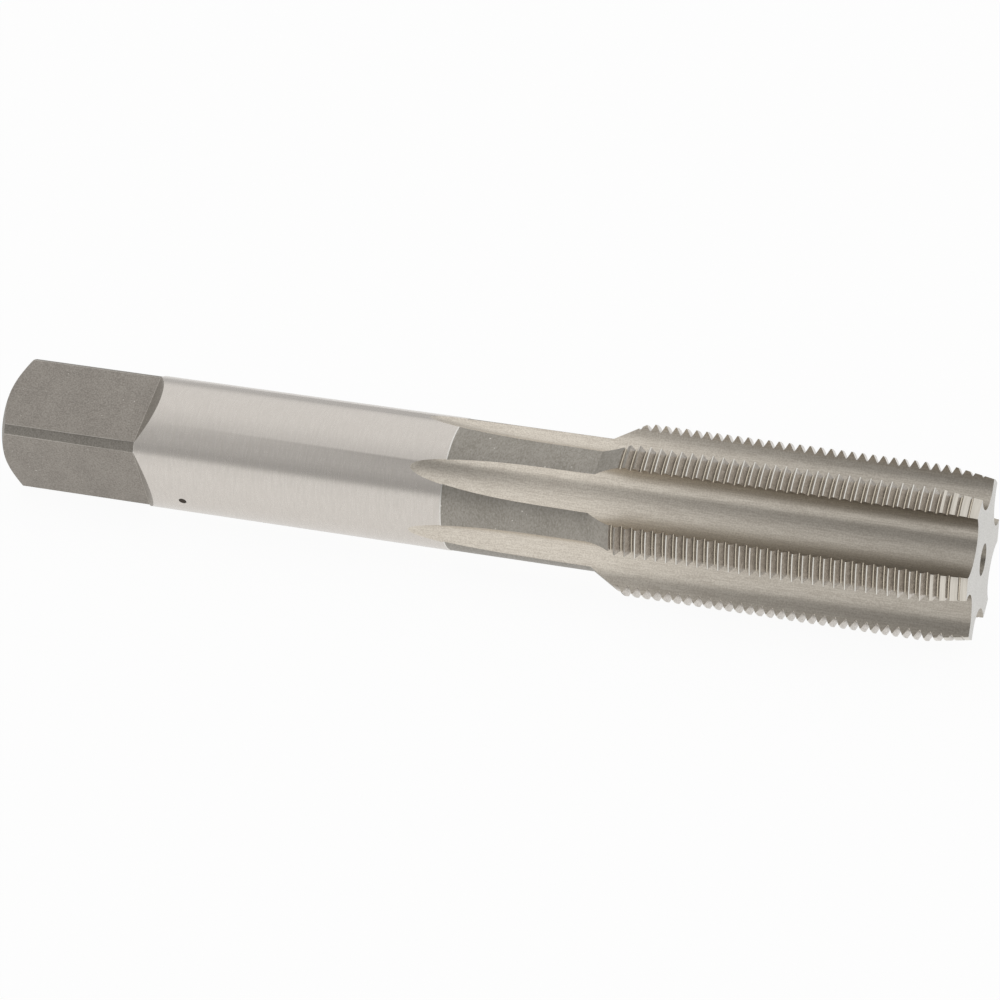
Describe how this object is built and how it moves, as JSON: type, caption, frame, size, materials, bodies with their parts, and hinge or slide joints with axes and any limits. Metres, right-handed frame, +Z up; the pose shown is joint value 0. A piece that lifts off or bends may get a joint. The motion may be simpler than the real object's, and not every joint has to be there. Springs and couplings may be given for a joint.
{
  "type": "straight flute tap",
  "caption": "Straight flute hand tap: a ground steel bar with a drive square at one end and fluted thread-cutting teeth with a short tapered lead at the other.",
  "frame": {"origin": "centre of the flat end face at the drive end, on the tap's axis", "axes": "+X along the axis from the drive end to the cutting end; +Z up as the tap lies, with one flute straight below; +Y completes the right-handed frame"},
  "size_m": [0.1024, 0.0174, 0.0164],
  "materials": {
    "high_speed_steel": "ground, satin grey; darker unground surfaces on the square and the neck"
  },
  "bodies": {
    "root": {"straight_flute_tap": "high_speed_steel"}
  },
  "joints": []
}
